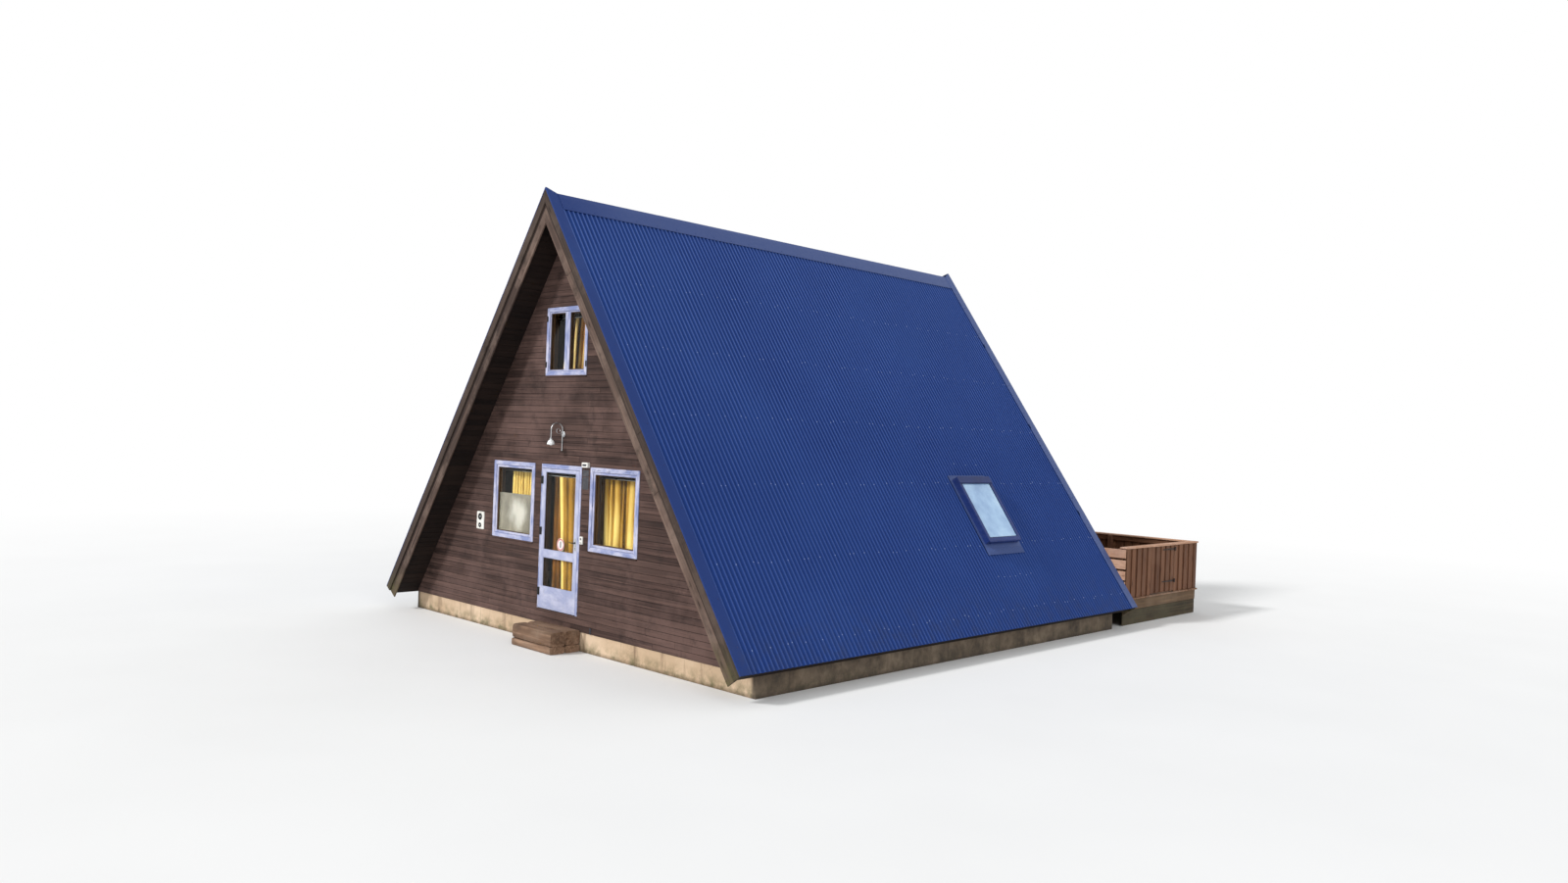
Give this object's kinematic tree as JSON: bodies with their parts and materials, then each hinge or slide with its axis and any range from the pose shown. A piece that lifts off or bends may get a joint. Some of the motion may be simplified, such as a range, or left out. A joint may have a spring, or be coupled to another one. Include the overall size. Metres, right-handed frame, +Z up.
{
  "type": "a-frame cabin",
  "caption": "A-frame timber cabin with a corrugated metal roof down to the ground, a clad front gable with door and windows, a skylight and a fenced rear terrace.",
  "frame": {"origin": "middle of the footprint's box at ground level", "axes": "+Z up, +Y along the ridge from the front gable to the rear terrace, +X to the side with the skylight"},
  "size_m": [8.5858, 12.37, 6.457],
  "materials": {
    "render": "stained cream render",
    "floorboards": "plain boards",
    "deck_wood": "stained boards",
    "deck_frame_wood": "treated timber",
    "rail_wood": "stained board",
    "roof_sheet": "coated corrugated steel",
    "roof_trim": "coated folded steel",
    "raw_wood": "sawn timber",
    "soffit_wood": "dark stained boards",
    "barge_wood": "weathered boards",
    "cladding": "weathered brown boards",
    "white_paint": "weathered white paint",
    "pane": "clear glass",
    "skylight_metal": "dark coated metal",
    "lamp_metal": "pale metal and opal glass",
    "plate_white": "plain plates",
    "sleeper_wood": "weathered sleepers",
    "black_iron": "black iron",
    "screen": "pale frosted film",
    "curtain": "gold woven curtain"
  },
  "bodies": {
    "cabin": {"plinth": "render", "floor": "floorboards", "wall_bases": "cladding", "front_wall_left": "cladding", "front_wall_right": "cladding", "front_wall_gable": "cladding", "back_wall_left": "cladding", "back_wall_right": "cladding", "back_wall_gable": "cladding", "loft_floor": "floorboards", "loft_beams": "raw_wood", "rafters": "raw_wood", "roof_lining_left": "soffit_wood", "roof_lining_right": "soffit_wood", "roof_boarding": "raw_wood", "roof_battens": "raw_wood", "roof_sheet_left": "roof_sheet", "roof_sheet_right": "roof_sheet", "ridge_cap": "roof_trim", "verge_trims": "roof_trim", "barge_boards_upper": "barge_wood", "barge_boards_lower": "barge_wood", "eave_boards": "soffit_wood", "front_window_frames": "white_paint", "front_window_glass": "pane", "back_window_frames": "white_paint", "back_window_glass": "pane", "door_frame": "white_paint", "back_door": "white_paint", "skylight_frame": "skylight_metal", "skylight_glass": "pane", "skylight_flashing": "roof_trim", "wall_lamp": "lamp_metal", "wall_plates": "plate_white", "door_step": "sleeper_wood", "deck_boards": "deck_wood", "deck_frame": "deck_frame_wood", "fence_right": "deck_wood", "fence_left": "deck_wood", "fence_back": "deck_wood", "handrails": "rail_wood", "fence_ends": "deck_wood", "hinge_brackets": "black_iron", "window_screen": "screen", "curtains": "curtain"},
    "door": {"door_leaf": "white_paint", "door_glass": "pane", "door_fittings": "black_iron", "door_curtain": "curtain"},
    "gate": {"gate_leaf": "deck_wood", "gate_fittings": "black_iron"}
  },
  "joints": [
    {"name": "door_hinge", "type": "hinge", "parent": "cabin", "child": "door", "pos_m": [-0.4855, -5.707, 1.5], "axis": [0, 0, -1], "range_deg": [0, 105]},
    {"name": "gate_hinge", "type": "hinge", "parent": "cabin", "child": "gate", "pos_m": [4.0453, 5.2033, 0.9], "axis": [0, 0, 1], "range_deg": [0, 100]}
  ]
}
